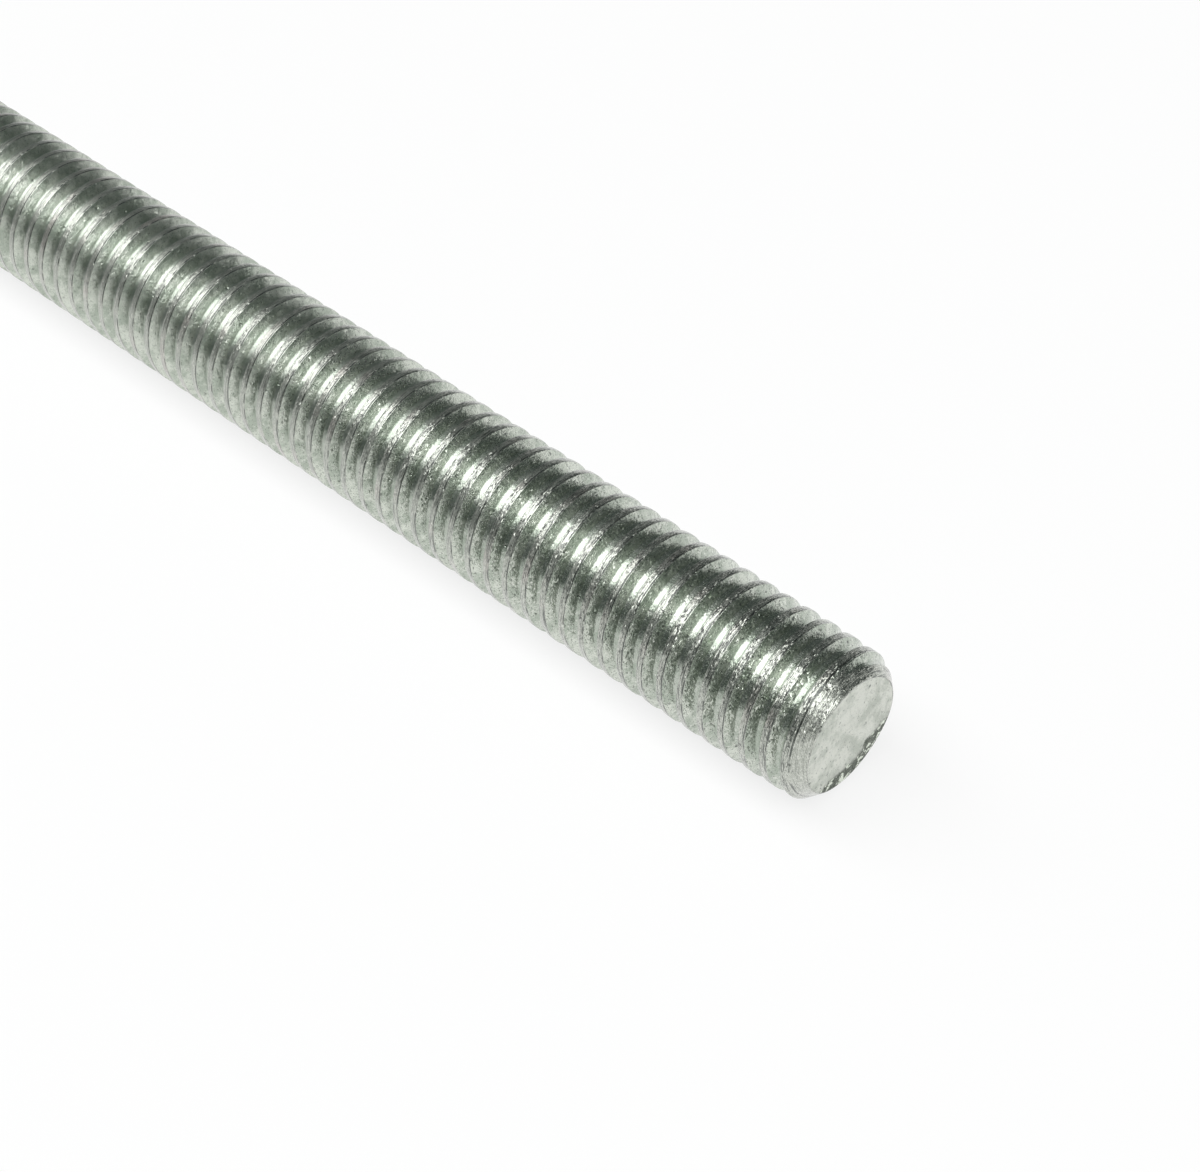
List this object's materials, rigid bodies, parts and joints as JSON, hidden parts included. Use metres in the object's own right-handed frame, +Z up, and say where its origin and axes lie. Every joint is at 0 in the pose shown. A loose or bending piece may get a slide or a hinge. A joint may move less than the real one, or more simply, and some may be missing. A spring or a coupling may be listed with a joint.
{
  "type": "threaded rod",
  "caption": "Straight steel rod threaded over its whole length, pointed and cut square at both ends, zinc plated.",
  "frame": {"origin": "centre of one flat end face", "axes": "+X along the rod, out of that end face; the rod runs from the origin along -X; +Z up as the rod lies"},
  "size_m": [0.15, 0.0078, 0.0078],
  "materials": {
    "zinc_plate": "bright zinc plating with a faint green tint, rough on the crests and smooth in the grooves"
  },
  "bodies": {
    "root": {"threaded_rod": "zinc_plate"}
  },
  "joints": []
}
